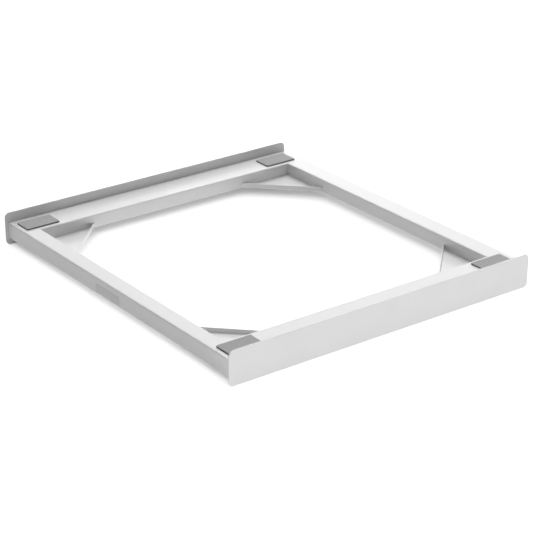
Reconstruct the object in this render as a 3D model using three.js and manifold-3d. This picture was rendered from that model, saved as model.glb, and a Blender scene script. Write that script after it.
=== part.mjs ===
// Stacking frame that goes between a washing machine and the tumble dryer on top of it.
// Two flat side plates hold both machines by their sides. A deck of four folded channels
// joins the plates, with a gusset in each corner of its window and rubber pads on both faces.
// Millimetres, +Z up. The origin is on the floor under the middle of the frame, the front
// with the label faces -Y, and +X is the right-hand side.
import * as THREE from 'three';
import { mergeVertices } from 'three/addons/utils/BufferGeometryUtils.js';
import Module from 'manifold-3d';

const wasm = await Module();
wasm.setup();

// Driving dimensions of the side plates
const clearWidth = 600; // between the plates, where a machine of standard width fits
const plateLength = 548;
const plateSheet = 2;
const plateCornerRadius = 8;
const upperLip = 16; // plate above the deck, beside the dryer
const lowerLip = 12; // plate below the rails, beside the washing machine

// Driving dimensions of the folded deck
const frameSheet = 1.5;
const bendInside = 0.5; // radius on the inner side of every fold
const railDepth = 25.5; // deck top to the lower edge of a rail's outer wall
const innerWallRise = 3.5; // the walls round the window end this far above the outer walls
const frontSetback = 5; // front rail behind the plates' front ends
const frontRailWidth = 28;
const backRailWidth = 33;
const beamWidth = 54;
const beamWeldFlange = 18; // beam's wall against the side plate
const returnFlange = 38; // foot of a beam, which the lower pads are stuck to
const weldGap = 0.3; // between sheets that are welded together

// Driving dimensions of the gussets
const gussetLeg = 96.5; // along either wall of the window
const gussetFlange = 8; // height over the fold along the long side
const gussetLift = 0.5; // underside above the walls' lower edges

// Driving dimensions of the pads
const padWidth = 33;
const padLength = 58;
const padCornerRadius = 2;
const upperPadThickness = 2.5;
const upperPadSideInset = 14; // from the side plate's inner face
const upperPadEndInset = 13; // from the side plate's end
const lowerPadThickness = 4;
const lowerPadSideInset = 1; // from the beam's wall on the window
const lowerPadEndInset = 6; // from the rail's wall on the window

// Driving dimensions of the label
const labelLength = 63;
const labelHeight = 12.5;
const labelThickness = 0.4;
const labelCornerRadius = 1.5;
const labelOffset = -9.5; // middle of the label, left of the frame's middle
const labelRise = 2.5; // above the lower edge of the rail's outer wall

// How the model is drawn
const overrun = 5; // by which a cutting shape passes the sheet that it cuts
const bendSteps = 6;
const cornerSteps = 8;
const quarterTurn = Math.PI / 2;

// Levels and faces that several pieces share
const plateHeight = lowerLip + railDepth + upperLip;
const deckTop = lowerLip + railDepth;
const innerWallDepth = railDepth - innerWallRise;
const bendOutside = bendInside + frameSheet;
const halfClear = clearWidth / 2;
const halfLength = plateLength / 2;
const frontFace = -halfLength + frontSetback;
const backFace = halfLength;
const windowHalfWidth = halfClear - beamWidth;
const windowFront = frontFace + frontRailWidth;
const windowBack = backFace - backRailWidth;
const windowDepth = windowBack - windowFront;
const windowMiddle = (windowFront + windowBack) / 2;

const paintedSteel = () => new THREE.MeshStandardMaterial({ color: 0xf0f1f1, roughness: 0.4, metalness: 0 });
const rubber = () => new THREE.MeshStandardMaterial({ color: 0x8f8f8f, roughness: 0.9, metalness: 0 });
const labelFilm = () => new THREE.MeshStandardMaterial({ color: 0xdcdddd, roughness: 0.35, metalness: 0 });

function named(name, geometry, material) {
  const mesh = new THREE.Mesh(geometry, material);
  mesh.name = name;
  return mesh;
}

// A rectangle about the origin with four round corners.
function roundedRectangle(width, height, radius) {
  const shape = new THREE.Shape();
  const x = width / 2 - radius;
  const y = height / 2 - radius;
  shape.moveTo(-x, -height / 2);
  shape.lineTo(x, -height / 2);
  shape.absarc(x, -y, radius, -quarterTurn, 0, false);
  shape.absarc(x, y, radius, 0, quarterTurn, false);
  shape.absarc(-x, y, radius, quarterTurn, Math.PI, false);
  shape.absarc(-x, -y, radius, Math.PI, Math.PI + quarterTurn, false);
  return shape;
}

// The end view of a folded sheet. The path holds the sharp corners of its outer face, and
// all its folds turn the same way through a right angle.
function foldedSection(path) {
  const corners = path.map(([x, y]) => new THREE.Vector2(x, y));
  const runs = corners.slice(1).map((corner, i) => corner.clone().sub(corners[i]).normalize());
  const turn = Math.sign(runs[0].cross(runs[1]));
  const throughSheet = (run) => new THREE.Vector2(-run.y, run.x).multiplyScalar(turn * frameSheet);
  const centreOfTurn = new THREE.Vector2();
  const outer = [corners[0]];
  const inner = [corners[0].clone().add(throughSheet(runs[0]))];
  for (let i = 1; i < runs.length; i += 1) {
    const centre = corners[i].clone()
      .addScaledVector(runs[i - 1], -bendOutside)
      .addScaledVector(runs[i], bendOutside);
    for (let step = 0; step <= bendSteps; step += 1) {
      const angle = turn * quarterTurn * (step / bendSteps);
      const spoke = runs[i].clone().negate().rotateAround(centreOfTurn, angle);
      outer.push(centre.clone().addScaledVector(spoke, bendOutside));
      inner.push(centre.clone().addScaledVector(spoke, bendInside));
    }
  }
  const end = corners[runs.length];
  outer.push(end);
  inner.push(end.clone().add(throughSheet(runs[runs.length - 1])));
  return new THREE.Shape([...outer, ...inner.reverse()]);
}

function extruded(shape, depth, curveSegments = cornerSteps) {
  return new THREE.ExtrudeGeometry(shape, { depth, bevelEnabled: false, curveSegments });
}

// An upright prism over a plan outline, between two levels.
function prism(points, bottom, top) {
  const outline = new THREE.Shape(points.map(([x, y]) => new THREE.Vector2(x, y)));
  return extruded(outline, top - bottom).translate(0, 0, bottom);
}

// The geometry as a solid that can be cut, with its shared corners merged.
function toSolid(geometry) {
  const bare = geometry.clone();
  bare.deleteAttribute('normal');
  bare.deleteAttribute('uv');
  const merged = mergeVertices(bare);
  return new wasm.Manifold(new wasm.Mesh({
    numProp: 3,
    vertProperties: new Float32Array(merged.attributes.position.array),
    triVerts: new Uint32Array(merged.index.array),
  }));
}

function toGeometry(body) {
  const { vertProperties, triVerts } = body.getMesh();
  const geometry = new THREE.BufferGeometry();
  geometry.setAttribute('position', new THREE.BufferAttribute(vertProperties, 3));
  geometry.setIndex(new THREE.BufferAttribute(triVerts, 1));
  geometry.computeVertexNormals();
  return geometry;
}

// Side plates: flat sheets with round corners, standing on the floor on their lower edges.
function sidePlate(name, innerFace) {
  const outline = roundedRectangle(plateLength, plateHeight, plateCornerRadius);
  const mesh = named(name, extruded(outline, plateSheet), paintedSteel());
  mesh.rotation.set(quarterTurn, 0, quarterTurn, 'ZYX');
  mesh.position.set(innerFace, 0, plateHeight / 2);
  return mesh;
}

// Rails: channels that are open below and run from plate to plate. Drawn with the outer face
// at y = 0 and the deck top at z = 0. Each end gives up its inner wall where the beam comes
// in, with a mitre through the fold at the corner of the window.
function rail(name, width) {
  const length = clearWidth - 2 * weldGap;
  const section = foldedSection([
    [0, -railDepth],
    [0, 0],
    [width, 0],
    [width, -innerWallDepth],
  ]);
  const channel = extruded(section, length)
    .translate(0, 0, -length / 2)
    .rotateX(quarterTurn)
    .rotateZ(quarterTurn);
  let body = toSolid(channel);
  for (const side of [-1, 1]) {
    const notch = prism([
      [side * (windowHalfWidth - overrun), width + overrun],
      [side * (windowHalfWidth + bendOutside), width - bendOutside],
      [side * (halfClear + overrun), width - bendOutside],
      [side * (halfClear + overrun), width + overrun],
    ], -railDepth - overrun, overrun);
    body = body.subtract(toSolid(notch));
  }
  return named(name, toGeometry(body), paintedSteel());
}

// Beams: channels beside the plates, with a wall welded to the plate, a wall on the window
// and a foot turned back under the deck. Drawn for the right-hand side, with the middle of
// the length at y = 0 and the deck top at z = 0. The ends follow the rails' notches.
function beam(name) {
  const plateSide = halfClear - weldGap;
  const length = windowDepth + 2 * (bendOutside - weldGap);
  const section = foldedSection([
    [plateSide, -beamWeldFlange],
    [plateSide, 0],
    [windowHalfWidth, 0],
    [windowHalfWidth, -innerWallDepth],
    [windowHalfWidth + returnFlange, -innerWallDepth],
  ]);
  const channel = extruded(section, length)
    .translate(0, 0, -length / 2)
    .rotateX(quarterTurn);
  const mitreStart = windowDepth / 2 - Math.SQRT2 * weldGap;
  const mitreReach = bendOutside + overrun;
  let body = toSolid(channel);
  for (const end of [-1, 1]) {
    const mitre = prism([
      [windowHalfWidth - overrun, end * (mitreStart - overrun)],
      [windowHalfWidth + mitreReach, end * (mitreStart + mitreReach)],
      [windowHalfWidth - overrun, end * (mitreStart + mitreReach)],
    ], -railDepth - overrun, overrun);
    body = body.subtract(toSolid(mitre));
  }
  return named(name, toGeometry(body), paintedSteel());
}

// Gussets: a triangle of sheet with its long side folded up. Drawn for the window's back
// right corner, which is at x = y = 0, with the underside at z = 0.
function gusset(name) {
  const reach = gussetLeg / Math.SQRT2;
  const length = 2 * (reach + overrun);
  const section = foldedSection([
    [0, 0],
    [reach, 0],
    [reach, gussetFlange],
  ]);
  const folded = extruded(section, length)
    .translate(0, 0, -length / 2)
    .rotateX(quarterTurn)
    .rotateZ(Math.PI + quarterTurn / 2);
  const wallSide = -weldGap;
  const farSide = -gussetLeg - overrun;
  const betweenWalls = prism([
    [wallSide, wallSide],
    [farSide, wallSide],
    [farSide, farSide],
    [wallSide, farSide],
  ], -overrun, gussetFlange + overrun);
  return named(name, toGeometry(toSolid(folded).intersect(toSolid(betweenWalls))), paintedSteel());
}

// Pads: flat rubber blocks. Drawn about the origin, rising from z = 0.
function pad(name, thickness) {
  return named(name, extruded(roundedRectangle(padWidth, padLength, padCornerRadius), thickness), rubber());
}

// Label: a bare film on the front rail. Drawn with its back at y = 0.
function label(name) {
  const film = extruded(roundedRectangle(labelLength, labelHeight, labelCornerRadius), labelThickness);
  return named(name, film.rotateX(quarterTurn), labelFilm());
}

const frame = new THREE.Group();
frame.add(sidePlate('left_side_plate', -halfClear - plateSheet));
frame.add(sidePlate('right_side_plate', halfClear));

// The deck, whose own z = 0 is the top face that the upper pads lie on
const deck = new THREE.Group();
deck.position.z = deckTop;
frame.add(deck);

const frontRail = rail('front_rail', frontRailWidth);
frontRail.position.y = frontFace;
deck.add(frontRail);

const backRail = rail('back_rail', backRailWidth);
backRail.position.y = backFace;
backRail.rotation.z = Math.PI;
deck.add(backRail);

const rightBeam = beam('right_beam');
rightBeam.position.y = windowMiddle;
deck.add(rightBeam);

const leftBeam = beam('left_beam');
leftBeam.position.y = windowMiddle;
leftBeam.rotation.z = Math.PI;
deck.add(leftBeam);

const frontLabel = label('blank_label');
frontLabel.position.set(labelOffset, frontFace, -railDepth + labelRise + labelHeight / 2);
deck.add(frontLabel);

// The four corners of the window: its sides, and the quarter turns that bring a gusset there
const corners = [
  { name: 'back_right', x: 1, y: 1, turns: 0 },
  { name: 'back_left', x: -1, y: 1, turns: 1 },
  { name: 'front_left', x: -1, y: -1, turns: 2 },
  { name: 'front_right', x: 1, y: -1, turns: 3 },
];

for (const { name, x, y, turns } of corners) {
  const windowEnd = y > 0 ? windowBack : windowFront;

  const plate = gusset(`${name}_gusset`);
  plate.position.set(x * windowHalfWidth, windowEnd, -innerWallDepth + gussetLift);
  plate.rotation.z = turns * quarterTurn;
  deck.add(plate);

  const upperPad = pad(`${name}_upper_pad`, upperPadThickness);
  upperPad.position.set(
    x * (halfClear - upperPadSideInset - padWidth / 2),
    y * (halfLength - upperPadEndInset - padLength / 2),
    0,
  );
  deck.add(upperPad);

  const lowerPad = pad(`${name}_lower_pad`, lowerPadThickness);
  lowerPad.position.set(
    x * (windowHalfWidth + lowerPadSideInset + padWidth / 2),
    windowEnd - y * (lowerPadEndInset + padLength / 2),
    -innerWallDepth - lowerPadThickness,
  );
  deck.add(lowerPad);
}

export default frame;
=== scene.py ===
"""Looks of a white steel stacking frame that carries a tumble dryer on a washing machine.

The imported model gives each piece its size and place. Here every sheet is cut, folded and
coated again with its real folds and rounded edges, the rubber pads and the bare label go on,
and a pale studio with the camera is set up around the frame. All lengths are in metres.
"""

import logging
import math
from collections.abc import Callable, Iterator
from contextlib import contextmanager
from dataclasses import dataclass, field
from enum import Enum, IntEnum

import bmesh
import bpy
from mathutils import Matrix, Vector


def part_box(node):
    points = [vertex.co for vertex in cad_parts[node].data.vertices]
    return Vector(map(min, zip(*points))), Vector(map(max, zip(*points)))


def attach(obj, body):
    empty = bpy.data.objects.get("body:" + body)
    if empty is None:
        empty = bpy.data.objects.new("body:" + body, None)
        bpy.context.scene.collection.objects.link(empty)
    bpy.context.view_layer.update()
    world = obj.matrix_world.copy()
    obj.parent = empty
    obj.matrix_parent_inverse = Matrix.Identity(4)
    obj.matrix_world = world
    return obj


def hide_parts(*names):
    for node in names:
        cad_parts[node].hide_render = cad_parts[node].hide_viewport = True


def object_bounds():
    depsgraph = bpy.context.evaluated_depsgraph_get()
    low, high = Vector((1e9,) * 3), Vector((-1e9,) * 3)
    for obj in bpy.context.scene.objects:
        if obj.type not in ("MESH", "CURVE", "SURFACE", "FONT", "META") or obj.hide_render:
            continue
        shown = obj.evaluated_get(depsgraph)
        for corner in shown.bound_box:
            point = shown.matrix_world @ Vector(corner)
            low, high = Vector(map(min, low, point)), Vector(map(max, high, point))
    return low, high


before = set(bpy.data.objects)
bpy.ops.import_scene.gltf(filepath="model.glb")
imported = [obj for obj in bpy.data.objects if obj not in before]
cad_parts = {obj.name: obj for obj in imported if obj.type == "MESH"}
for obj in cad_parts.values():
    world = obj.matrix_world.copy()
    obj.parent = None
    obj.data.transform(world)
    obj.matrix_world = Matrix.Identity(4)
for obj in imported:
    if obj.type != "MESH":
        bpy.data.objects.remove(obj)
packed_low, packed_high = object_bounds()

log = logging.getLogger("stacking_frame")

MILLIMETRE = 0.001
BODY = "root"

# Lengths that differ by less than this count as equal.
TOLERANCE = 0.01 * MILLIMETRE
# Cosine of the angle up to which an edge counts as parallel to an axis, 0.8 degrees.
PARALLEL = 0.9999
# Edges that turn by more than this are rounded a little.
SHARP_TURN = math.radians(40)
# Faces that meet at less than this are shaded as one.
SMOOTH_TURN = math.radians(35)
# How strongly the large faces hold the shading flat, from 1 to 100, where 50 is neutral.
FLAT_WEIGHT = 100

# Octaves of the fine and of the broad grain.
FINE_DETAIL = 3.0
BROAD_DETAIL = 2.0
# Strength of a bump at its real height, and of a light that shows as plain white.
FULL = 1.0
# The attribute that says how far up a piece's side a vertex is, which places the painted shade on
# the pads' sides.
RISE = "rise"

Edge = bmesh.types.BMEdge
Face = bmesh.types.BMFace
Socket = bpy.types.NodeSocket


class Side(Enum):
    """The two sides of the frame, as the sign of X."""

    LEFT = -1
    RIGHT = 1

    @property
    def word(self) -> str:
        """The side's name in the names of pieces."""
        return self.name.lower()


class End(Enum):
    """The two ends of the frame, as the sign of Y."""

    FRONT = -1
    BACK = 1

    @property
    def word(self) -> str:
        """The end's name in the names of pieces."""
        return self.name.lower()


class Level(Enum):
    """The two faces of the deck that carry pads, as the sign of Z."""

    LOWER = -1
    UPPER = 1

    @property
    def word(self) -> str:
        """The level's name in the names of pieces."""
        return self.name.lower()


class Axis(IntEnum):
    """The axes of the frame, as places in a vector."""

    X = 0
    Y = 1
    Z = 2


@dataclass(frozen=True)
class Sheet:
    """How the frame's sheet steel is cut and folded.

    Attributes:
        thickness: The sheet's thickness.
        bend_inside: Radius on the inner side of a fold.
        bend_steps: Flats that a fold is made of.
        edge_radius: Radius of the cut edges.
        edge_steps: Flats that a cut edge's round is made of.
        seam: Gap between two sheets that are welded together.
        overrun: How far a sheet is cut too long before it is trimmed.
    """

    thickness: float = 1.5 * MILLIMETRE
    bend_inside: float = 0.5 * MILLIMETRE
    bend_steps: int = 6
    edge_radius: float = 0.3 * MILLIMETRE
    edge_steps: int = 3
    seam: float = 0.05 * MILLIMETRE
    overrun: float = 5.0 * MILLIMETRE

    @property
    def bend_outside(self) -> float:
        """Radius on the outer side of a fold."""
        return self.bend_inside + self.thickness


def middle(edge: Edge) -> Vector:
    """The point half-way along an edge."""
    return (edge.verts[0].co + edge.verts[1].co) / 2


def runs_along(edge: Edge, axis: Axis) -> bool:
    """Whether an edge is parallel to an axis."""
    run = (edge.verts[1].co - edge.verts[0].co).normalized()
    return abs(run[axis]) > PARALLEL


def looks(face: Face, axis: Axis) -> int:
    """Which way a block's face looks along an axis: 1, -1, or 0 if it looks elsewhere."""
    return round(face.normal[axis])


def close(value: float, target: float) -> bool:
    """Whether two lengths count as equal."""
    return abs(value - target) < TOLERANCE


def grey(value: float) -> tuple[float, float, float, float]:
    """An opaque grey, as a colour for a socket."""
    return (value, value, value, 1.0)


class Workpiece:
    """One piece on the bench, shaped with Blender's modelling tools.

    Attributes:
        obj: The mesh object, which stays at the origin with its place in its mesh.
    """

    def __init__(self, obj: bpy.types.Object) -> None:
        """Takes an object onto the bench."""
        self.obj = obj

    @classmethod
    def block(cls, name: str, low: Vector, high: Vector) -> "Workpiece":
        """Adds a block between two corners.

        Args:
            name: The piece's name.
            low: Its lowest corner.
            high: Its highest corner.

        Returns:
            The block, as a workpiece.
        """
        bpy.ops.object.select_all(action="DESELECT")
        bpy.ops.mesh.primitive_cube_add(size=1, location=(low + high) / 2, scale=high - low)
        bpy.ops.object.transform_apply(location=True, rotation=True, scale=True)
        obj = bpy.context.object
        obj.name = obj.data.name = name
        return cls(obj)

    def hold(self) -> None:
        """Makes this piece the only one that is selected, and the active one."""
        bpy.ops.object.select_all(action="DESELECT")
        self.obj.select_set(True)
        bpy.context.view_layer.objects.active = self.obj

    @contextmanager
    def editing(self) -> Iterator[None]:
        """Keeps the piece in edit mode while a block of statements runs.

        Yields:
            Nothing.
        """
        self.hold()
        bpy.ops.object.mode_set(mode="EDIT")
        yield
        bpy.ops.object.mode_set(mode="OBJECT")

    def pick(self, kind: str, wanted: Callable[[Edge | Face], bool]) -> None:
        """Selects what passes a test, in edit mode.

        Args:
            kind: FACE or EDGE, for what is tested.
            wanted: The test.
        """
        bpy.ops.mesh.select_mode(type=kind)
        bpy.ops.mesh.select_all(action="DESELECT")
        mesh = bmesh.from_edit_mesh(self.obj.data)
        for element in mesh.faces if kind == "FACE" else mesh.edges:
            if wanted(element):
                element.select_set(True)
        bmesh.update_edit_mesh(self.obj.data)

    def pick_faces(self, wanted: Callable[[Face], bool]) -> None:
        """Selects the faces that pass a test, in edit mode."""
        self.pick("FACE", wanted)

    def pick_edges(self, wanted: Callable[[Edge], bool]) -> None:
        """Selects the edges that pass a test, in edit mode."""
        self.pick("EDGE", wanted)

    def open_faces(self, wanted: Callable[[Face], bool]) -> None:
        """Deletes the faces that pass a test, which leaves an open shell.

        Args:
            wanted: The test.
        """
        with self.editing():
            self.pick_faces(wanted)
            bpy.ops.mesh.delete(type="FACE")

    def round_edges(self, wanted: Callable[[Edge], bool], radius: float, steps: int) -> None:
        """Rounds the edges that pass a test.

        Args:
            wanted: The test.
            radius: The radius of the round.
            steps: Flats that the round is made of.
        """
        with self.editing():
            self.pick_edges(wanted)
            bpy.ops.mesh.bevel(offset=radius, offset_type="OFFSET", segments=steps, affect="EDGES")

    def shift_edges(self, wanted: Callable[[Edge], bool], way: Vector) -> None:
        """Moves the edges that pass a test.

        Args:
            wanted: The test.
            way: How far, and in which direction.
        """
        with self.editing():
            self.pick_edges(wanted)
            bpy.ops.transform.translate(value=way)

    def extend_edges(self, wanted: Callable[[Edge], bool], way: Vector) -> None:
        """Grows a new strip of sheet from the edges that pass a test.

        Args:
            wanted: The test.
            way: How far, and in which direction.
        """
        with self.editing():
            self.pick_edges(wanted)
            bpy.ops.mesh.extrude_edges_move(TRANSFORM_OT_translate={"value": way})

    def trim(self, point: Vector, normal: Vector) -> None:
        """Cuts the piece with a plane and closes the cut.

        Args:
            point: A point of the plane.
            normal: Its normal, which points at the side that is thrown away.
        """
        with self.editing():
            bpy.ops.mesh.select_all(action="SELECT")
            bpy.ops.mesh.bisect(plane_co=point, plane_no=normal, use_fill=True, clear_outer=True)

    def apply(self, kind: str, **settings: object) -> None:
        """Adds a modifier and applies it.

        Args:
            kind: The modifier's type.
            **settings: Its settings by name.
        """
        self.hold()
        modifier = self.obj.modifiers.new(kind.title(), kind)
        for name, value in settings.items():
            setattr(modifier, name, value)
        bpy.ops.object.modifier_apply(modifier=modifier.name)

    def thicken(self, thickness: float) -> None:
        """Gives an open shell a wall, inwards from its outer face.

        Args:
            thickness: The wall's thickness.
        """
        self.apply("SOLIDIFY", thickness=thickness, offset=-1, use_even_offset=True)

    def soften(self, radius: float, steps: int) -> None:
        """Rounds every sharp edge of the closed piece a little.

        Args:
            radius: The radius of the round.
            steps: Flats that the round is made of.
        """
        self.apply("BEVEL", width=radius, segments=steps, limit_method="ANGLE",
                   angle_limit=SHARP_TURN)

    def cut_away(self, cutter: "Workpiece") -> None:
        """Cuts another workpiece's shape out of this one, and throws that one away.

        Args:
            cutter: The shape to cut out.
        """
        self.apply("BOOLEAN", operation="DIFFERENCE", solver="EXACT", object=cutter.obj)
        bpy.data.objects.remove(cutter.obj)

    def turn(self, angle: float, to: Vector) -> None:
        """Turns the piece about Z and then moves it, in its mesh.

        Args:
            angle: The turn, in radians.
            to: Where the origin goes.
        """
        self.obj.data.transform(Matrix.Translation(to) @ Matrix.Rotation(angle, 4, "Z"))

    def copy(self, name: str) -> "Workpiece":
        """Copies the piece, with a mesh of its own.

        Args:
            name: The copy's name.

        Returns:
            The copy.
        """
        twin = self.obj.copy()
        twin.data = self.obj.data.copy()
        twin.name = twin.data.name = name
        bpy.context.scene.collection.objects.link(twin)
        return Workpiece(twin)

    def shade(self) -> None:
        """Shades the folds and rounds smooth and keeps the flats flat."""
        self.hold()
        bpy.ops.object.shade_smooth_by_angle(angle=SMOOTH_TURN)
        self.apply("WEIGHTED_NORMAL", keep_sharp=True, weight=FLAT_WEIGHT)

    def mark_rise(self, foot: float, rim: float) -> None:
        """Writes how far up its side each vertex is, as an attribute from 0 to 1.

        Args:
            foot: The level at which the side starts.
            rim: The level at which it ends.
        """
        rise = self.obj.data.attributes.new(RISE, "FLOAT", "POINT")
        for vertex, mark in zip(self.obj.data.vertices, rise.data):
            mark.value = min(max((vertex.co.z - foot) / (rim - foot), 0.0), 1.0)

    def install(self, node: str, material: bpy.types.Material, slot: str) -> None:
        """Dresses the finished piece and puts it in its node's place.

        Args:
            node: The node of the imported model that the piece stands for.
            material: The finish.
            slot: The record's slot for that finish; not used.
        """
        self.obj.data.materials.clear()
        self.obj.data.materials.append(material)
        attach(self.obj, BODY)
        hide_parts(node)
        log.info("%s: %d faces, in place of %s", self.obj.name, len(self.obj.data.polygons), node)


class NodeSheet:
    """A node tree with short calls to add nodes and wire them up.

    Attributes:
        tree: The node tree.
    """

    def __init__(self, tree: bpy.types.NodeTree) -> None:
        """Clears a tree to start from."""
        self.tree = tree
        self.tree.nodes.clear()

    def add(self, kind: str, **settings: object) -> bpy.types.Node:
        """Adds a node.

        Args:
            kind: The node's type.
            **settings: Its properties by name, where inputs holds the values of its sockets.

        Returns:
            The node.
        """
        node = self.tree.nodes.new(kind)
        for socket, value in settings.pop("inputs", {}).items():
            node.inputs[socket].default_value = value
        for name, value in settings.items():
            setattr(node, name, value)
        return node

    def add_white(self, kind: str, strength: float) -> bpy.types.Node:
        """Adds a node of a type that gives off light, and makes the light white."""
        return self.add(kind, inputs={"Color": grey(1.0), "Strength": strength})

    def wire(self, *links: tuple[Socket, Socket]) -> None:
        """Wires sockets up.

        Args:
            *links: Pairs of an output and the input that it feeds.
        """
        for source, target in links:
            self.tree.links.new(source, target)


def grain_group() -> bpy.types.NodeTree:
    """Builds the grain that every finish of the frame has, each at its own scale.

    Returns:
        The node group, which turns a position into a fine height and a broad tone mask.
    """
    group = bpy.data.node_groups.new("surface_grain", "ShaderNodeTree")
    for name, kind, way in (
        ("Vector", "NodeSocketVector", "INPUT"),
        ("Fine Scale", "NodeSocketFloat", "INPUT"),
        ("Broad Scale", "NodeSocketFloat", "INPUT"),
        ("Roughness", "NodeSocketFloat", "INPUT"),
        ("Height", "NodeSocketFloat", "OUTPUT"),
        ("Tone", "NodeSocketFloat", "OUTPUT"),
    ):
        group.interface.new_socket(name=name, in_out=way, socket_type=kind)
    sheet = NodeSheet(group)
    entry = sheet.add("NodeGroupInput")
    leave = sheet.add("NodeGroupOutput")
    fine = sheet.add("ShaderNodeTexNoise", inputs={"Detail": FINE_DETAIL})
    broad = sheet.add("ShaderNodeTexNoise", inputs={"Detail": BROAD_DETAIL})
    sheet.wire(
        (entry.outputs["Vector"], fine.inputs["Vector"]),
        (entry.outputs["Vector"], broad.inputs["Vector"]),
        (entry.outputs["Fine Scale"], fine.inputs["Scale"]),
        (entry.outputs["Broad Scale"], broad.inputs["Scale"]),
        (entry.outputs["Roughness"], fine.inputs["Roughness"]),
        (fine.outputs["Fac"], leave.inputs["Height"]),
        (broad.outputs["Fac"], leave.inputs["Tone"]),
    )
    return group


@dataclass(frozen=True)
class Finish:
    """A finish with a fine grain, a broad change of tone, a range of gloss, and painted shade on
    its sides where asked.

    Attributes:
        name: The material's name.
        slot: The record's slot for it.
        dark: Base colour where the tone is lowest, as one grey.
        light: Base colour where the tone is highest, as one grey.
        matt: Roughness where the tone is highest.
        glossy: Roughness where the tone is lowest.
        fine_scale: Grains to the metre.
        broad_scale: Patches of tone to the metre.
        grain_roughness: How much finer detail the grain holds, from 0 to 1.
        relief: Height of the grain in metres.
        specular: Specular level of the surface.
        tone_low: Broad grain at which the tone is lowest.
        tone_high: Broad grain at which it is highest.
        side_shade: Painted shade, what its colour is multiplied by on its sides, darkest towards
            the face it is stuck with.
        side_end: How far up a side, from 0 to 1, the painted shade starts to end.
    """

    name: str
    slot: str
    dark: float
    light: float
    matt: float
    glossy: float
    fine_scale: float
    broad_scale: float
    grain_roughness: float
    relief: float
    specular: float = 0.5
    tone_low: float = 0.3
    tone_high: float = 0.7
    side_shade: float = 1.0
    side_end: float = 0.8

    def build(self, grain: bpy.types.NodeTree) -> bpy.types.Material:
        """Builds the material.

        Args:
            grain: The shared grain group.

        Returns:
            The material.
        """
        material = bpy.data.materials.new(self.name)
        material.use_nodes = True
        sheet = NodeSheet(material.node_tree)
        place = sheet.add("ShaderNodeTexCoord")
        grains = sheet.add("ShaderNodeGroup", node_tree=grain)
        grains.inputs["Fine Scale"].default_value = self.fine_scale
        grains.inputs["Broad Scale"].default_value = self.broad_scale
        grains.inputs["Roughness"].default_value = self.grain_roughness
        tone = sheet.add("ShaderNodeMapRange",
                         inputs={"From Min": self.tone_low, "From Max": self.tone_high})
        colour = sheet.add("ShaderNodeMix", data_type="RGBA")
        colour.inputs["A"].default_value = grey(self.dark)
        colour.inputs["B"].default_value = grey(self.light)
        gloss = sheet.add("ShaderNodeMapRange",
                          inputs={"To Min": self.glossy, "To Max": self.matt})
        bump = sheet.add("ShaderNodeBump", inputs={"Strength": FULL, "Distance": self.relief})
        surface = sheet.add("ShaderNodeBsdfPrincipled",
                            inputs={"Specular IOR Level": self.specular})
        leave = sheet.add("ShaderNodeOutputMaterial")
        paint = colour.outputs["Result"]
        # Painted shade: the sides are darkened towards the face that the piece is stuck with.
        if self.side_shade < 1:
            paint = self.paint_side_shade(sheet, paint)
        sheet.wire(
            (place.outputs["Object"], grains.inputs["Vector"]),
            (grains.outputs["Tone"], tone.inputs["Value"]),
            (tone.outputs["Result"], colour.inputs["Factor"]),
            (tone.outputs["Result"], gloss.inputs["Value"]),
            (grains.outputs["Height"], bump.inputs["Height"]),
            (paint, surface.inputs["Base Color"]),
            (gloss.outputs["Result"], surface.inputs["Roughness"]),
            (bump.outputs["Normal"], surface.inputs["Normal"]),
            (surface.outputs["BSDF"], leave.inputs["Surface"]),
        )
        return material

    def paint_side_shade(self, sheet: NodeSheet, paint: Socket) -> Socket:
        """Paints shade onto a colour on the piece's sides, darkest towards the face it is stuck
        with.

        Args:
            sheet: The material's nodes.
            paint: The colour.

        Returns:
            The colour, with painted shade on the sides.
        """
        rise = sheet.add("ShaderNodeAttribute", attribute_name=RISE)
        shade = sheet.add("ShaderNodeMapRange",
                          inputs={"From Min": self.side_end, "To Min": self.side_shade})
        shaded = sheet.add("ShaderNodeVectorMath", operation="SCALE")
        sheet.wire(
            (rise.outputs["Fac"], shade.inputs["Value"]),
            (paint, shaded.inputs["Vector"]),
            (shade.outputs["Result"], shaded.inputs["Scale"]),
        )
        return shaded.outputs["Vector"]


POWDER_COAT = Finish(
    name="white_powder_coat", slot="painted_steel", dark=0.85, light=0.87, matt=0.34,
    glossy=0.28, fine_scale=700, broad_scale=25, grain_roughness=0.4,
    relief=0.006 * MILLIMETRE,
)
# The pads' sides get painted shade: their colour is halved up to four fifths of the way up each
# side, then lightens towards the free face.
PAD_RUBBER = Finish(
    name="grey_pad_rubber", slot="pad_rubber", dark=0.38, light=0.48, matt=0.85,
    glossy=0.7, fine_scale=900, broad_scale=350, grain_roughness=0.6,
    relief=0.08 * MILLIMETRE, specular=0.4, side_shade=0.5,
)
LABEL_FILM = Finish(
    name="silver_grey_label_film", slot="label_film", dark=0.74, light=0.76, matt=0.4,
    glossy=0.34, fine_scale=1200, broad_scale=60, grain_roughness=0.5,
    relief=0.002 * MILLIMETRE,
)


@dataclass
class SidePlate:
    """A flat side plate, standing on its lower edge.

    Attributes:
        side: Which side it is on.
        sheet: How it is cut.
        corner_radius: Radius of its four corners, seen from the side.
        corner_steps: Flats that a corner is made of.
    """

    side: Side
    sheet: Sheet = field(default_factory=Sheet)
    corner_radius: float = 8.0 * MILLIMETRE
    corner_steps: int = 16

    def build(self, coat: bpy.types.Material) -> None:
        """Cuts the plate out, rounds its edges and coats it.

        Args:
            coat: The powder coat.
        """
        node = f"{self.side.word}_side_plate"
        plate = Workpiece.block(f"{node}_sheet", *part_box(node))
        plate.round_edges(
            lambda edge: runs_along(edge, Axis.X), self.corner_radius, self.corner_steps
        )
        plate.soften(self.sheet.edge_radius, self.sheet.edge_steps)
        plate.shade()
        plate.install(node, coat, POWDER_COAT.slot)


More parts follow.
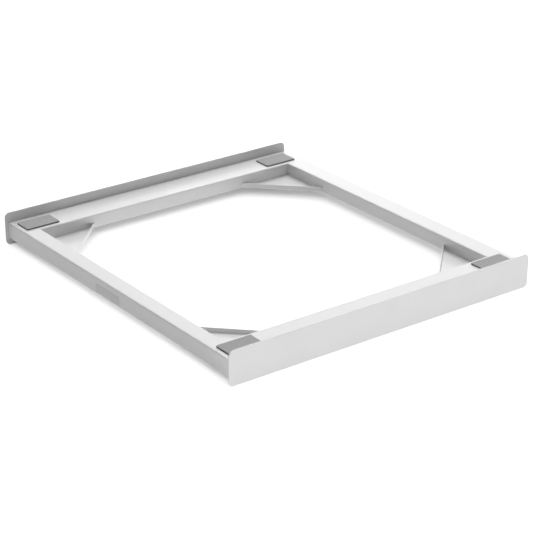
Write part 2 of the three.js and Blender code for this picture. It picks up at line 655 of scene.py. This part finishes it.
@dataclass
class Window:
    """The deck's open middle, read from the nodes round it.

    Attributes:
        half_width: Half its width, from beam to beam.
        front: Its front side, along Y.
        back: Its back side, along Y.
        plate_face: The right side plate's inner face, along X.
        wall_foot: Level of the lower edge of its walls.
    """

    half_width: float = 0.0
    front: float = 0.0
    back: float = 0.0
    plate_face: float = 0.0
    wall_foot: float = 0.0

    @classmethod
    def from_frame(cls) -> "Window":
        """Reads the window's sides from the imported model.

        Returns:
            The window.
        """
        beam_low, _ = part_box("right_beam")
        return cls(
            half_width=beam_low.x,
            front=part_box("front_rail")[1].y,
            back=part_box("back_rail")[0].y,
            plate_face=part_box("right_side_plate")[0].x,
            wall_foot=beam_low.z,
        )

    def end(self, end: End) -> float:
        """The window's side at one end, along Y."""
        return self.front if end is End.FRONT else self.back


@dataclass
class Rail:
    """A channel from plate to plate, open below, that closes one end of the window.

    Attributes:
        end: Which end of the frame it is at.
        window: The deck's window.
        sheet: How it is cut and folded.
    """

    end: End
    window: Window
    sheet: Sheet = field(default_factory=Sheet)

    def build(self, coat: bpy.types.Material) -> None:
        """Folds the channel, notches its ends for the beams and coats it.

        Args:
            coat: The powder coat.
        """
        node = f"{self.end.word}_rail"
        low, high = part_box(node)
        reach = self.window.plate_face + self.sheet.overrun
        low.x, high.x = -reach, reach
        window_side = self.window.end(self.end)
        rail = Workpiece.block(f"{node}_sheet", low, high)
        rail.open_faces(lambda face: looks(face, Axis.Z) < 0 or looks(face, Axis.X) != 0)
        rail.shift_edges(
            lambda edge: runs_along(edge, Axis.X)
            and close(middle(edge).z, low.z)
            and close(middle(edge).y, window_side),
            Vector((0, 0, self.window.wall_foot - low.z)),
        )
        rail.round_edges(
            lambda edge: runs_along(edge, Axis.X) and close(middle(edge).z, high.z),
            self.sheet.bend_outside,
            self.sheet.bend_steps,
        )
        rail.thicken(self.sheet.thickness)
        rail.soften(self.sheet.edge_radius, self.sheet.edge_steps)
        for side in Side:
            rail.cut_away(self.notch(side, low, high))
            face = side.value * (self.window.plate_face - self.sheet.seam)
            rail.trim(Vector((face, 0, 0)), Vector((side.value, 0, 0)))
        rail.shade()
        rail.install(node, coat, POWDER_COAT.slot)

    def notch(self, side: Side, low: Vector, high: Vector) -> Workpiece:
        """Shapes what is cut out of one end of the channel, where a beam comes in.

        Args:
            side: Which end of the channel.
            low: The channel's lowest corner.
            high: Its highest corner.

        Returns:
            The shape, with a mitre at the window's corner.
        """
        over = self.sheet.overrun
        window_side = self.window.end(self.end)
        past_fold = window_side + self.end.value * self.sheet.bend_outside
        before = window_side - self.end.value * over
        inner = side.value * (self.window.half_width - over)
        # The channel is cut too long by one overrun, and the notch goes past it by another.
        outer = side.value * (self.window.plate_face + 2 * over)
        notch = Workpiece.block(
            "notch",
            Vector((min(inner, outer), min(before, past_fold), low.z - over)),
            Vector((max(inner, outer), max(before, past_fold), high.z + over)),
        )
        notch.trim(
            Vector((side.value * self.window.half_width, window_side, 0)),
            Vector((-side.value, self.end.value, 0)),
        )
        return notch


@dataclass
class Beam:
    """A channel beside a side plate, with a foot turned back under the deck.

    Attributes:
        side: Which side it is on.
        window: The deck's window.
        sheet: How it is cut and folded.
        weld_flange: Depth of its wall against the plate.
        foot: Width of the foot, which the lower pads are stuck to.
    """

    side: Side
    window: Window
    sheet: Sheet = field(default_factory=Sheet)
    weld_flange: float = 18.0 * MILLIMETRE
    foot: float = 38.0 * MILLIMETRE

    def build(self, coat: bpy.types.Material) -> None:
        """Folds the channel, mitres its ends and coats it.

        Args:
            coat: The powder coat.
        """
        node = f"{self.side.word}_beam"
        low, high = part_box(node)
        sign = self.side.value
        fold = self.sheet.bend_outside
        wall = sign * self.window.half_width
        plate = sign * (self.window.plate_face - self.sheet.seam)
        low.x, high.x = min(wall, plate), max(wall, plate)
        low.y = self.window.front - fold - self.sheet.overrun
        high.y = self.window.back + fold + self.sheet.overrun
        beam = Workpiece.block(f"{node}_sheet", low, high)
        beam.open_faces(lambda face: looks(face, Axis.Z) < 0 or looks(face, Axis.Y) != 0)
        beam.shift_edges(
            lambda edge: runs_along(edge, Axis.Y)
            and close(middle(edge).z, low.z)
            and close(middle(edge).x, plate),
            Vector((0, 0, high.z - low.z - self.weld_flange)),
        )
        beam.extend_edges(
            lambda edge: runs_along(edge, Axis.Y)
            and close(middle(edge).z, low.z)
            and close(middle(edge).x, wall),
            Vector((sign * self.foot, 0, 0)),
        )
        beam.round_edges(
            lambda edge: runs_along(edge, Axis.Y) and not edge.is_boundary,
            fold,
            self.sheet.bend_steps,
        )
        beam.thicken(self.sheet.thickness)
        beam.soften(self.sheet.edge_radius, self.sheet.edge_steps)
        for end in End:
            window_side = self.window.end(end)
            stop = window_side + end.value * (fold - self.sheet.seam)
            beam.trim(Vector((0, stop, 0)), Vector((0, end.value, 0)))
            mitre = window_side - end.value * math.sqrt(2) * self.sheet.seam
            beam.trim(Vector((wall, mitre, 0)), Vector((-sign, end.value, 0)))
        beam.shade()
        beam.install(node, coat, POWDER_COAT.slot)


@dataclass
class Gussets:
    """The triangle of sheet in each corner of the window, with its long side folded up.

    Attributes:
        window: The deck's window.
        sheet: How they are cut and folded.
        leg: Length along either wall of the window.
        inward: Direction from the back right corner to the window's middle, as a turn about Z.
    """

    window: Window
    sheet: Sheet = field(default_factory=Sheet)
    leg: float = 96.5 * MILLIMETRE
    inward: float = math.pi * 5 / 4

    def build(self, coat: bpy.types.Material) -> None:
        """Folds one gusset and sets a copy of it into each corner.

        Args:
            coat: The powder coat.
        """
        pattern = self.fold()
        for quarter, (side, end) in enumerate(
            ((Side.RIGHT, End.BACK), (Side.LEFT, End.BACK),
             (Side.LEFT, End.FRONT), (Side.RIGHT, End.FRONT))
        ):
            node = f"{end.word}_{side.word}_gusset"
            corner = Vector((side.value * self.window.half_width, self.window.end(end), 0))
            gusset = pattern.copy(f"{node}_sheet")
            gusset.turn(quarter * math.pi / 2, corner)
            gusset.shade()
            gusset.install(node, coat, POWDER_COAT.slot)
        bpy.data.objects.remove(pattern.obj)

    def fold(self) -> Workpiece:
        """Folds a gusset for the back right corner, with that corner at the origin.

        Returns:
            The gusset, at its real level.
        """
        low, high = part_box("back_right_gusset")
        over = self.sheet.overrun
        reach = self.leg / math.sqrt(2)
        gusset = Workpiece.block(
            "gusset_pattern",
            Vector((-over, -reach - over, low.z)),
            Vector((reach, reach + over, high.z)),
        )
        gusset.open_faces(lambda face: looks(face, Axis.Z) >= 0 and looks(face, Axis.X) <= 0)
        gusset.round_edges(
            lambda edge: not edge.is_boundary, self.sheet.bend_outside, self.sheet.bend_steps
        )
        gusset.thicken(self.sheet.thickness)
        gusset.soften(self.sheet.edge_radius, self.sheet.edge_steps)
        gusset.turn(self.inward, Vector())
        for normal in (Vector((1, 0, 0)), Vector((0, 1, 0))):
            gusset.trim(-normal * self.sheet.seam, normal)
        return gusset


@dataclass
class Pad:
    """A flat rubber pad that is stuck to the deck.

    Attributes:
        level: Whether it carries the dryer or stands on the washing machine.
        side: Which side it is on.
        end: Which end it is at.
        corner_radius: Radius of its upright corners.
        corner_steps: Flats that a corner is made of.
        rim_radius: Radius round its free face.
        rim_steps: Flats that the rim is made of.
        crown: How far the middle of its free face stands over the rim.
        crown_inset: Width of each step up to the crown.
        crown_steps: Steps up to the crown.
    """

    level: Level
    side: Side
    end: End
    corner_radius: float = 2.0 * MILLIMETRE
    corner_steps: int = 6
    rim_radius: float = 0.45 * MILLIMETRE
    rim_steps: int = 4
    crown: float = 0.15 * MILLIMETRE
    crown_inset: float = 5.0 * MILLIMETRE
    crown_steps: int = 2

    def build(self, rubber: bpy.types.Material) -> None:
        """Cuts the pad, rounds it and gives its free face a slight crown.

        Args:
            rubber: The pads' finish.
        """
        node = f"{self.end.word}_{self.side.word}_{self.level.word}_pad"
        low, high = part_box(node)
        sign = self.level.value
        stuck, free = (low, high) if self.level is Level.UPPER else (high, low)
        free.z -= sign * self.crown
        pad = Workpiece.block(f"{node}_rubber", low, high)
        with pad.editing():
            pad.pick_faces(lambda face: looks(face, Axis.Z) == sign)
            for _ in range(self.crown_steps):
                bpy.ops.mesh.inset(thickness=self.crown_inset)
                bpy.ops.transform.translate(value=(0, 0, sign * self.crown / self.crown_steps))
        pad.round_edges(
            lambda edge: runs_along(edge, Axis.Z), self.corner_radius, self.corner_steps
        )
        pad.round_edges(
            lambda edge: all(close(vertex.co.z, free.z) for vertex in edge.verts),
            self.rim_radius,
            self.rim_steps,
        )
        pad.shade()
        # Marks how far up its sides each point is, for the painted shade there.
        pad.mark_rise(stuck.z, free.z)
        pad.install(node, rubber, PAD_RUBBER.slot)


@dataclass
class Label:
    """The bare label on the front rail.

    Attributes:
        corner_radius: Radius of its corners, seen from the front.
        corner_steps: Flats that a corner is made of.
        rim_radius: Radius round its face.
        rim_steps: Flats that the rim is made of.
    """

    corner_radius: float = 1.5 * MILLIMETRE
    corner_steps: int = 8
    rim_radius: float = 0.12 * MILLIMETRE
    rim_steps: int = 3

    def build(self, film: bpy.types.Material) -> None:
        """Cuts the label out of film and sticks it on the rail.

        Args:
            film: The label's finish.
        """
        node = "blank_label"
        low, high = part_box(node)
        label = Workpiece.block("label_film_piece", low, high)
        label.round_edges(
            lambda edge: runs_along(edge, Axis.Y), self.corner_radius, self.corner_steps
        )
        label.round_edges(
            lambda edge: all(close(vertex.co.y, low.y) for vertex in edge.verts),
            self.rim_radius,
            self.rim_steps,
        )
        label.shade()
        label.install(node, film, LABEL_FILM.slot)


@dataclass
class StackingFrame:
    """The whole frame, piece by piece.

    Attributes:
        window: The deck's window.
    """

    window: Window = field(default_factory=Window.from_frame)

    def build(self) -> None:
        """Builds every piece and dresses it."""
        grain = grain_group()
        coat = POWDER_COAT.build(grain)
        rubber = PAD_RUBBER.build(grain)
        film = LABEL_FILM.build(grain)
        for side in Side:
            SidePlate(side).build(coat)
            Beam(side, self.window).build(coat)
        for end in End:
            Rail(end, self.window).build(coat)
        Gussets(self.window).build(coat)
        for level in Level:
            for end in End:
                for side in Side:
                    Pad(level, side, end).build(rubber)
        Label().build(film)


def direction(azimuth: float, elevation: float) -> Vector:
    """The direction from the frame to something that looks at it or lights it.

    Args:
        azimuth: Degrees round from the front, through the right-hand side.
        elevation: Degrees above the floor.

    Returns:
        A vector of length 1.
    """
    a, e = math.radians(azimuth), math.radians(elevation)
    return Vector((math.sin(a) * math.cos(e), -math.cos(a) * math.cos(e), math.sin(e)))


def hang_lamp(
    name: str, size: tuple[float, float], watts: float, spot: Vector, way: Vector
) -> bpy.types.Object:
    """Adds a flat lamp that the camera doesn't see.

    Args:
        name: The lamp's name.
        size: Its width and its depth.
        watts: Its power.
        spot: Where it is.
        way: The direction from what it lights back to it.

    Returns:
        The lamp.
    """
    lamp = bpy.data.lights.new(name, "AREA")
    lamp.shape = "RECTANGLE"
    lamp.size, lamp.size_y = size
    lamp.energy = watts
    holder = bpy.data.objects.new(name, lamp)
    holder.location = spot
    holder.rotation_euler = way.to_track_quat("Z", "Y").to_euler()
    holder.visible_camera = False
    bpy.context.scene.collection.objects.link(holder)
    return holder


@dataclass(frozen=True)
class Softbox:
    """A square soft lamp that looks at the middle of the frame.

    Attributes:
        name: The lamp's name.
        azimuth: Degrees round from the front, through the right-hand side.
        elevation: Degrees above the floor.
        watts: Its power.
        size: Length of its sides.
        distance: How far away it is.
    """

    name: str
    azimuth: float
    elevation: float
    watts: float
    size: float = 2.4
    distance: float = 5.0

    def place(self) -> bpy.types.Object:
        """Sets the lamp up.

        Returns:
            The lamp.
        """
        way = direction(self.azimuth, self.elevation)
        spot = way * self.distance
        return hang_lamp(self.name, (self.size, self.size), self.watts, spot, way)


@dataclass(frozen=True)
class LightTable:
    """A flat lamp that lies on the floor and shines up.

    Attributes:
        name: The lamp's name.
        low: Its lowest X and Y.
        high: Its highest X and Y.
        glow: Its brightness, where 1 is white.
        lift: Its height over the floor.
    """

    name: str
    low: tuple[float, float]
    high: tuple[float, float]
    glow: float
    lift: float = 0.1 * MILLIMETRE

    def place(self) -> bpy.types.Object:
        """Sets the lamp up.

        Returns:
            The lamp.
        """
        low, high = Vector(self.low), Vector(self.high)
        span, centre = high - low, (low + high) / 2
        spot = Vector((centre.x, centre.y, packed_low.z + self.lift))
        watts = self.glow * math.pi * span.x * span.y
        return hang_lamp(self.name, (span.x, span.y), watts, spot, Vector((0, 0, -1)))


class Reach(Enum):
    """What a lamp lights, as the state of the floor in its list of receivers."""

    FLOOR_ONLY = "INCLUDE"
    ALL_BUT_FLOOR = "EXCLUDE"


@dataclass
class Studio:
    """The floor and the lamps.

    Attributes:
        softboxes: The lamps round the frame, which light all but the floor.
        tables: The lamps that lie on the floor, which light all but the floor too.
        floor_softboxes: The lamps that light the floor alone.
        sky: Strength of the surrounding light.
        floor_radius: Radius of the round floor.
        floor_steps: Sides of the floor's outline.
        floor_grey: The floor's colour, as one grey.
        floor_gain: How much brighter the camera sees the floor's matt part.
        seen_glow: Light that the camera sees the floor give off by itself.
        fade_start: Distance from the middle at which the floor starts to fade to white.
        fade_end: Distance at which it is white.
    """

    softboxes: tuple[Softbox, ...] = (
        Softbox("key_softbox", azimuth=225, elevation=55, watts=100),
        Softbox("low_softbox", azimuth=225, elevation=15, watts=32),
        Softbox("top_softbox", azimuth=225, elevation=80, watts=73),
        Softbox("fold_softbox", azimuth=290, elevation=40, watts=14, size=0.8),
        Softbox("back_softbox", azimuth=135, elevation=35, watts=19),
        Softbox("side_softbox", azimuth=250, elevation=30, watts=18),
    )
    tables: tuple[LightTable, ...] = (
        LightTable("right_light_table", low=(0.302, -3.0), high=(3.0, 3.0), glow=0.61),
        LightTable("window_light_table", low=(-0.245, -0.24), high=(0.245, 0.13), glow=0.37),
    )
    floor_softboxes: tuple[Softbox, ...] = (
        Softbox("floor_top_softbox", azimuth=0, elevation=90, watts=480, size=12, distance=3),
        Softbox("floor_back_softbox", azimuth=45, elevation=45, watts=75),
    )
    sky: float = 0.01
    floor_radius: float = 8.0
    floor_steps: int = 96
    floor_grey: float = 0.75
    floor_gain: float = 1.2
    seen_glow: float = 0.26
    fade_start: float = 0.5
    fade_end: float = 1.2

    def build(self) -> None:
        """Sets the whole studio up."""
        floor = self.lay_floor()
        for lamp in self.softboxes + self.tables:
            self.aim(lamp.place(), floor, Reach.ALL_BUT_FLOOR)
        for lamp in self.floor_softboxes:
            self.aim(lamp.place(), floor, Reach.FLOOR_ONLY)
        self.light_world()
        bpy.context.scene.view_settings.view_transform = "Standard"

    def aim(self, lamp: bpy.types.Object, floor: bpy.types.Object, reach: Reach) -> None:
        """Chooses what a lamp lights.

        Args:
            lamp: The lamp.
            floor: The floor.
            reach: What the lamp lights.
        """
        receivers = bpy.data.collections.new(f"{lamp.name}_receivers")
        receivers.objects.link(floor)
        receivers.collection_objects[0].light_linking.link_state = reach.value
        lamp.light_linking.receiver_collection = receivers

    def lay_floor(self) -> bpy.types.Object:
        """Lays the round floor at the level that the frame stands on.

        Returns:
            The floor.
        """
        bpy.ops.object.select_all(action="DESELECT")
        bpy.ops.mesh.primitive_circle_add(
            vertices=self.floor_steps, radius=self.floor_radius, fill_type="NGON",
            location=(0, 0, packed_low.z),
        )
        bpy.ops.object.transform_apply(location=True, rotation=True, scale=True)
        floor = bpy.context.object
        floor.name = floor.data.name = "studio_floor"
        floor.data.materials.append(self.floor_material())
        return floor

    def floor_material(self) -> bpy.types.Material:
        """Builds the floor's material: a pale matt sheet that fades to white far out.

        Returns:
            The material.
        """
        material = bpy.data.materials.new("pale_floor")
        material.use_nodes = True
        sheet = NodeSheet(material.node_tree)
        seen_grey = self.floor_grey * self.floor_gain
        matt = sheet.add("ShaderNodeBsdfDiffuse", inputs={"Color": grey(self.floor_grey)})
        seen_matt = sheet.add("ShaderNodeBsdfDiffuse", inputs={"Color": grey(seen_grey)})
        seen_glow = sheet.add_white("ShaderNodeEmission", self.seen_glow)
        seen = sheet.add("ShaderNodeAddShader")
        white = sheet.add_white("ShaderNodeEmission", FULL)
        clear = sheet.add("ShaderNodeBsdfTransparent")
        place = sheet.add("ShaderNodeTexCoord")
        distance = sheet.add("ShaderNodeVectorMath", operation="LENGTH")
        fade = sheet.add(
            "ShaderNodeMapRange", interpolation_type="SMOOTHSTEP",
            inputs={"From Min": self.fade_start, "From Max": self.fade_end},
        )
        far = sheet.add("ShaderNodeMixShader")
        choice = sheet.add("ShaderNodeMixShader")
        geometry = sheet.add("ShaderNodeNewGeometry")
        from_below = sheet.add("ShaderNodeMixShader")
        leave = sheet.add("ShaderNodeOutputMaterial")
        sheet.wire(
            (seen_matt.outputs["BSDF"], seen.inputs[0]),
            (seen_glow.outputs["Emission"], seen.inputs[1]),
            (place.outputs["Object"], distance.inputs[0]),
            (distance.outputs["Value"], fade.inputs["Value"]),
            (fade.outputs["Result"], far.inputs["Fac"]),
            (seen.outputs["Shader"], far.inputs[1]),
            (white.outputs["Emission"], far.inputs[2]),
            (self.looked_at(sheet), choice.inputs["Fac"]),
            (matt.outputs["BSDF"], choice.inputs[1]),
            (far.outputs["Shader"], choice.inputs[2]),
            (geometry.outputs["Backfacing"], from_below.inputs["Fac"]),
            (choice.outputs["Shader"], from_below.inputs[1]),
            (clear.outputs["BSDF"], from_below.inputs[2]),
            (from_below.outputs["Shader"], leave.inputs["Surface"]),
        )
        return material

    def looked_at(self, sheet: NodeSheet) -> Socket:
        """Tells rays that show the surroundings from those that only light the frame.

        Args:
            sheet: The node tree that needs to know.

        Returns:
            An output that is 1 on camera, glossy and transmission rays.
        """
        path = sheet.add("ShaderNodeLightPath")
        mirrored = sheet.add("ShaderNodeMath", operation="MAXIMUM")
        either = sheet.add("ShaderNodeMath", operation="MAXIMUM")
        sheet.wire(
            (path.outputs["Is Glossy Ray"], mirrored.inputs[0]),
            (path.outputs["Is Transmission Ray"], mirrored.inputs[1]),
            (path.outputs["Is Camera Ray"], either.inputs[0]),
            (mirrored.outputs["Value"], either.inputs[1]),
        )
        return either.outputs["Value"]

    def light_world(self) -> None:
        """Makes the surroundings white to look at and gives the frame an even soft light."""
        world = bpy.data.worlds.new("studio_world")
        bpy.context.scene.world = world
        world.use_nodes = True
        sheet = NodeSheet(world.node_tree)
        soft = sheet.add_white("ShaderNodeBackground", self.sky)
        white = sheet.add_white("ShaderNodeBackground", FULL)
        choice = sheet.add("ShaderNodeMixShader")
        leave = sheet.add("ShaderNodeOutputWorld")
        sheet.wire(
            (self.looked_at(sheet), choice.inputs["Fac"]),
            (soft.outputs["Background"], choice.inputs[1]),
            (white.outputs["Background"], choice.inputs[2]),
            (choice.outputs["Shader"], leave.inputs["Surface"]),
        )


@dataclass(frozen=True)
class Viewpoint:
    """The camera, where the photograph was taken from.

    Attributes:
        azimuth: Degrees round from the front, through the right-hand side.
        elevation: Degrees above the floor.
        distance: From the target.
        target: The point that it looks at.
        lens: Focal length in millimetres on a sensor 36 mm wide.
        near: Nearest distance that it shows.
        far: Farthest distance that it shows.
    """

    azimuth: float = 53.36
    elevation: float = 23.91
    distance: float = 2.7649
    target: tuple[float, float, float] = (0.06530, -0.03580, 0.03020)
    lens: float = 125.03
    near: float = 0.05
    far: float = 50.0

    def place(self) -> None:
        """Sets the camera up as the scene's camera."""
        eye = bpy.data.cameras.new("viewpoint")
        eye.lens = self.lens
        eye.clip_start = self.near
        eye.clip_end = self.far
        back = direction(self.azimuth, self.elevation)
        holder = bpy.data.objects.new("viewpoint", eye)
        holder.location = Vector(self.target) + back * self.distance
        holder.rotation_euler = back.to_track_quat("Z", "Y").to_euler()
        bpy.context.scene.collection.objects.link(holder)
        bpy.context.scene.camera = holder


def main() -> None:
    """Builds the camera, the frame and the studio."""
    logging.basicConfig(level=logging.INFO, format="%(name)s: %(message)s")
    Viewpoint().place()
    StackingFrame().build()
    Studio().build()


if __name__ == "__main__":
    main()
